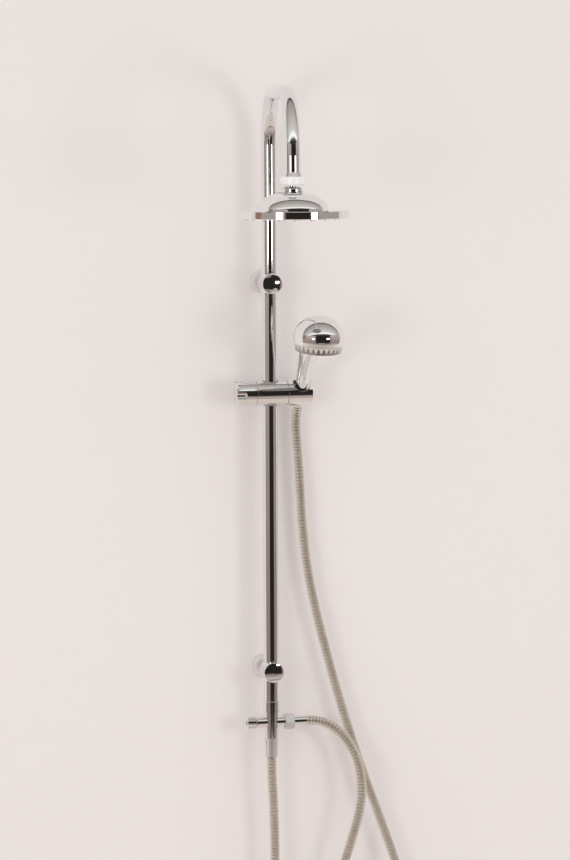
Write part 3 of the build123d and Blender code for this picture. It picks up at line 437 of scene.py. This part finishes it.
def turnedPiece(name, outline, steps, body, finishes, cut=None):
    # A closed outline of radius and height, turned about the head's axis
    seam = Vector(showerHead["seam"])
    axis = Vector(showerHead["axis"]).normalized()
    across = axis.cross(Vector((0, 1, 0))).normalized()
    other = axis.cross(across)
    mesh = bpy.data.meshes.new(name)
    build = bmesh.new()
    rings = []
    for radius, height in outline:
        ring = []
        for step in range(steps if radius else 1):
            angle = 2 * pi * step / steps
            out = radius - (cut(step, height) if cut else 0)
            ring.append(build.verts.new((seam + axis * height + (across * cos(angle) + other * sin(angle)) * out) * mm))
        rings.append(ring)
    heights = [height for radius, height in outline]
    for first, second, height in zip(rings, rings[1:] + rings[:1], heights):
        if len(first) == 1 and len(second) == 1:
            continue
        for step in range(steps):
            turn = (step + 1) % steps
            corners = [first[step % len(first)], first[turn % len(first)]]
            corners += [second[turn % len(second)], second[step % len(second)]]
            face = build.faces.new(list(dict.fromkeys(corners)))
            # Faces in a cut take the second finish; on the selector ring that is a painted highlight in its grips
            inHighlightedCut = cut and max(cut(step, height), cut(turn, height)) > 0
            face.material_index = 1 if inHighlightedCut else 0
    bmesh.ops.recalc_face_normals(build, faces=build.faces)
    build.to_mesh(mesh)
    build.free()
    piece = bpy.data.objects.new(name, mesh)
    bpy.context.scene.collection.objects.link(piece)
    bpy.ops.object.select_all(action="DESELECT")
    piece.select_set(True)
    bpy.context.view_layer.objects.active = piece
    bpy.ops.object.shade_smooth_by_angle(angle=radians(25))
    for finish in finishes:
        mesh.materials.append(finish)
    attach(piece, body)
    return piece


def capOutline():
    turns = showerHead["capTurns"]
    shares = [pi / 2 * (1 - turn / turns) for turn in range(turns + 1)]
    outside = [(showerHead["capRadius"] * cos(share), showerHead["capHeight"] * sin(share)) for share in shares]
    insideRadius, insideHeight = showerHead["capInside"]
    inside = [(insideRadius * cos(share), insideHeight * sin(share) + 0.05) for share in shares]
    outside[0] = (0, showerHead["capHeight"])
    inside[0] = (0, insideHeight)
    return outside + showerHead["rim"] + inside[::-1]


def ringOutline():
    (topRadius, top), (bottomRadius, bottom) = showerHead["ringTop"], showerHead["ringBottom"]
    levels = showerHead["ringLevels"]
    side = []
    for level in range(levels + 1):
        share = level / levels
        side.append((topRadius + (bottomRadius - topRadius) * share, top + (bottom - top) * share))
    return side + [(showerHead["ringInside"], bottom), (showerHead["ringInside"], top)]


def gripCut(step, height):
    # How deep the grip is here: a notch that narrows and fades downwards
    top = showerHead["ringTop"][1]
    share = max(1 - (top - height) / showerHead["gripReach"], 0)
    off = abs((step / showerHead["gripSteps"]) % 1 - 0.5)
    half = showerHead["gripHalf"] * share
    return showerHead["gripDepth"] * share * max(1 - off / half, 0) if half else 0


capPiece = turnedPiece("handShowerCap", capOutline(), showerHead["capSteps"], "handset", [chromePlate])
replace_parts(capPiece, "head_cap")
ringSteps = showerHead["grips"] * showerHead["gripSteps"]
# The ring's body takes darker chrome, a painted shade, and its grip cuts a pale finish, a painted highlight
ringPiece = turnedPiece("selectorGrips", ringOutline(), ringSteps, "selector", [paintedShadeChrome, paleSatinAndPaintedSheen], gripCut)
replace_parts(ringPiece, "selector_ring")
print("hand shower head made")

stage = {
    "wallBehind": 0.0006,
    "size": 24.0,
    "floor": -0.95,
    "wallColour": (0.88, 0.837, 0.830),
    "floorColour": (0.80, 0.75, 0.71),
}


def paleSurface(name, colour):
    finish = bpy.data.materials.new(name)
    finish.use_nodes = True
    shader = finish.node_tree.nodes["Principled BSDF"]
    shader.inputs["Base Color"].default_value = (*colour, 1)
    shader.inputs["Roughness"].default_value = 0.9
    shader.inputs["Specular IOR Level"].default_value = 0.1
    return finish


def addPlane(name, width, height, place, turn, finish):
    bpy.ops.object.select_all(action="DESELECT")
    bpy.ops.mesh.primitive_plane_add(size=1, location=place, rotation=turn)
    plane = bpy.context.active_object
    plane.name = name
    plane.scale = (width, height, 1)
    plane.data.materials.append(finish)
    return plane


wallFinish = paleSurface("wallPaint", stage["wallColour"])
floorFinish = paleSurface("floorPaint", stage["floorColour"])
size = stage["size"]
addPlane("wall", size, size, (0, stage["wallBehind"], 0), (pi / 2, 0, 0), wallFinish)
addPlane("floor", size, size, (0, -size / 2, stage["floor"]), (0, 0, 0), floorFinish)

# What the chrome mirrors of the studio: only reflections see these
studio = {
    "radius": 4.2,
    "bottom": -0.95,
    "top": 1.95,
    "sides": 96,
    "low": (0.27, 0.205, 0.175),
    "middle": (0.36, 0.30, 0.27),
    "high": (0.50, 0.46, 0.44),
    "dark": (0.022, 0.018, 0.016),
    "darkFrom": -1.75,
    "darkTo": 2.4,
    "darkSoft": 0.25,
    "boxGlow": 5.0,
    "doorPlace": (-2.6, -0.55, 0.85),
    "doorSize": (0.6, 0.9),
    "doorColour": (0.30, 0.17, 0.135),
    # Distance from the wall in metres and the tone there
    "floorTones": [
        (0.0, (0.72, 0.63, 0.56)),
        (1.42, (0.68, 0.58, 0.52)),
        (1.47, (0.27, 0.21, 0.18)),
        (1.62, (0.27, 0.21, 0.18)),
        (1.68, (0.62, 0.52, 0.47)),
        (3.2, (0.27, 0.22, 0.20)),
        (3.9, (0.12, 0.10, 0.09)),
        (4.05, (0.75, 0.70, 0.65)),
    ],
    "ceilingTones": [
        (0.0, (0.04, 0.035, 0.03)),
        (0.09, (0.10, 0.09, 0.08)),
        (0.18, (0.34, 0.31, 0.285)),
        (0.9, (0.55, 0.51, 0.475)),
        (1.6, (0.68, 0.65, 0.62)),
        (2.0, (1.10, 1.10, 1.09)),
        (2.3, (1.10, 1.10, 1.09)),
        (2.6, (0.25, 0.23, 0.21)),
        (3.1, (0.04, 0.035, 0.03)),
    ],
}


def onlyReflected(card):
    card.visible_camera = False
    card.visible_diffuse = False
    card.visible_shadow = False
    card.visible_transmission = False


def glow(name, strength):
    finish = bpy.data.materials.new(name)
    finish.use_nodes = True
    tree = finish.node_tree
    tree.nodes.remove(tree.nodes["Principled BSDF"])
    light = tree.nodes.new("ShaderNodeEmission")
    light.inputs["Strength"].default_value = strength
    tree.links.new(light.outputs["Emission"], tree.nodes["Material Output"].inputs["Surface"])
    return finish, tree, light


def tonesByDistance(name, tones, reach):
    # A card's tones from the wall outwards, along its own Y
    finish, tree, light = glow(name, 1.0)
    place = tree.nodes.new("ShaderNodeTexCoord")
    split = tree.nodes.new("ShaderNodeSeparateXYZ")
    tree.links.new(place.outputs["UV"], split.inputs["Vector"])
    away = tree.nodes.new("ShaderNodeMapRange")
    away.inputs["From Min"].default_value = 1.0
    away.inputs["From Max"].default_value = 0.0
    tree.links.new(split.outputs["Y"], away.inputs["Value"])
    tone = tree.nodes.new("ShaderNodeValToRGB")
    steps = tone.color_ramp.elements
    for index, (distance, colour) in enumerate(tones):
        step = steps[0] if index == 0 else steps.new(distance / reach)
        step.position = distance / reach
        step.color = (*colour, 1)
    steps.remove(steps[-1])
    tree.links.new(away.outputs["Result"], tone.inputs["Fac"])
    tree.links.new(tone.outputs["Color"], light.inputs["Color"])
    return finish


def between(tree, value, low, high, soft):
    # One between two values, nothing beyond them, with soft edges
    ends = []
    for outside, inside in ((low - soft, low), (high + soft, high)):
        edge = tree.nodes.new("ShaderNodeMapRange")
        edge.inputs["From Min"].default_value = outside
        edge.inputs["From Max"].default_value = inside
        tree.links.new(value, edge.inputs["Value"])
        ends.append(edge.outputs["Result"])
    both = tree.nodes.new("ShaderNodeMath")
    both.operation = "MULTIPLY"
    tree.links.new(ends[0], both.inputs[0])
    tree.links.new(ends[1], both.inputs[1])
    return both.outputs["Value"]


def roomFinish():
    # Tan to pale with the height, and a dark opening behind the camera
    finish, tree, light = glow("roomGlow", 1.0)
    place = tree.nodes.new("ShaderNodeTexCoord")
    split = tree.nodes.new("ShaderNodeSeparateXYZ")
    tree.links.new(place.outputs["Object"], split.inputs["Vector"])
    height = tree.nodes.new("ShaderNodeMapRange")
    height.inputs["From Min"].default_value = studio["bottom"]
    height.inputs["From Max"].default_value = studio["top"]
    tree.links.new(split.outputs["Z"], height.inputs["Value"])
    tone = tree.nodes.new("ShaderNodeValToRGB")
    tone.color_ramp.elements[0].color = (*studio["low"], 1)
    tone.color_ramp.elements[1].color = (*studio["high"], 1)
    middle = tone.color_ramp.elements.new(0.35)
    middle.color = (*studio["middle"], 1)
    tree.links.new(height.outputs["Result"], tone.inputs["Fac"])
    opening = between(tree, split.outputs["X"], studio["darkFrom"], studio["darkTo"], studio["darkSoft"])
    blend = tree.nodes.new("ShaderNodeMixRGB")
    tree.links.new(opening, blend.inputs["Fac"])
    tree.links.new(tone.outputs["Color"], blend.inputs["Color1"])
    blend.inputs["Color2"].default_value = (*studio["dark"], 1)
    tree.links.new(blend.outputs["Color"], light.inputs["Color"])
    return finish


bpy.ops.object.select_all(action="DESELECT")
bpy.ops.mesh.primitive_cylinder_add(
    vertices=studio["sides"],
    radius=studio["radius"],
    depth=studio["top"] - studio["bottom"],
    end_fill_type="NOTHING",
    location=(0, 0, (studio["top"] + studio["bottom"]) / 2),
)
room = bpy.context.active_object
room.name = "room"
bpy.ops.object.transform_apply(location=True, rotation=True, scale=True)
bpy.ops.object.mode_set(mode="EDIT")
bpy.ops.mesh.select_all(action="SELECT")
bpy.ops.mesh.bisect(plane_co=(0, -0.002, 0), plane_no=(0, 1, 0), clear_outer=True)
bpy.ops.object.mode_set(mode="OBJECT")
room.data.materials.append(roomFinish())
onlyReflected(room)
reach = studio["radius"]
for name, height in (("floor", studio["bottom"] + 0.01), ("ceiling", studio["top"] - 0.01)):
    finish = tonesByDistance(name + "Tones", studio[name + "Tones"], reach)
    onlyReflected(addPlane(name + "Card", 2 * reach, reach, (0, -reach / 2, height), (0, 0, 0), finish))
doorFinish, _, doorLight = glow("doorGlow", 1.0)
doorLight.inputs["Color"].default_value = (*studio["doorColour"], 1)
onlyReflected(addPlane("door", *studio["doorSize"], studio["doorPlace"], (pi / 2, 0, pi / 2), doorFinish))

# Two softboxes, as the shadows on the wall show; what the chrome mirrors of each is its own face
lamps = {
    "rightSoftbox": {"place": (1.12, -2.25, 0.40), "size": (0.55, 0.60), "power": 6, "face": (0.50, 0.27, 0.61)},
    "leftSoftbox": {"place": (-1.45, -2.06, 0.46), "size": (0.55, 0.60), "power": 6, "face": (0.50, 0.27, 0.61)},
}
faceFinish, _, faceLight = glow("faceGlow", studio["boxGlow"])
for name, lamp in lamps.items():
    data = bpy.data.lights.new(name, "AREA")
    data.shape = "RECTANGLE"
    data.size, data.size_y = lamp["size"]
    data.energy = lamp["power"]
    box = bpy.data.objects.new(name, data)
    bpy.context.scene.collection.objects.link(box)
    box.location = lamp["place"]
    aim = Vector((0, -0.1, 0.35)) - Vector(lamp["place"])
    box.rotation_euler = aim.to_track_quat("-Z", "Y").to_euler()
    box.visible_glossy = False
    width, tall, middle = lamp["face"]
    facePlace = Vector((lamp["place"][0], lamp["place"][1], middle))
    faceAim = Vector((-facePlace.x, -0.05 - facePlace.y, 0))
    card = addPlane(name + "Face", width, tall, facePlace, faceAim.to_track_quat("-Z", "Y").to_euler(), faceFinish)
    onlyReflected(card)

world = bpy.data.worlds.new("studio")
bpy.context.scene.world = world
world.use_nodes = True
sky = world.node_tree
backdrop = sky.nodes["Background"]
backdrop.inputs["Color"].default_value = (0.80, 0.79, 0.78, 1)
ambient = 1.10
rays = sky.nodes.new("ShaderNodeLightPath")
seen = sky.nodes.new("ShaderNodeMath")
seen.operation = "MAXIMUM"
sky.links.new(rays.outputs["Is Camera Ray"], seen.inputs[0])
sky.links.new(rays.outputs["Is Glossy Ray"], seen.inputs[1])
through = sky.nodes.new("ShaderNodeMath")
through.operation = "MAXIMUM"
sky.links.new(seen.outputs["Value"], through.inputs[0])
sky.links.new(rays.outputs["Is Transmission Ray"], through.inputs[1])
level = sky.nodes.new("ShaderNodeMapRange")
level.inputs["To Min"].default_value = ambient
level.inputs["To Max"].default_value = 1.0
sky.links.new(through.outputs["Value"], level.inputs["Value"])
sky.links.new(level.outputs["Result"], backdrop.inputs["Strength"])
bpy.context.scene.view_settings.view_transform = "Standard"
print("stage and light set")
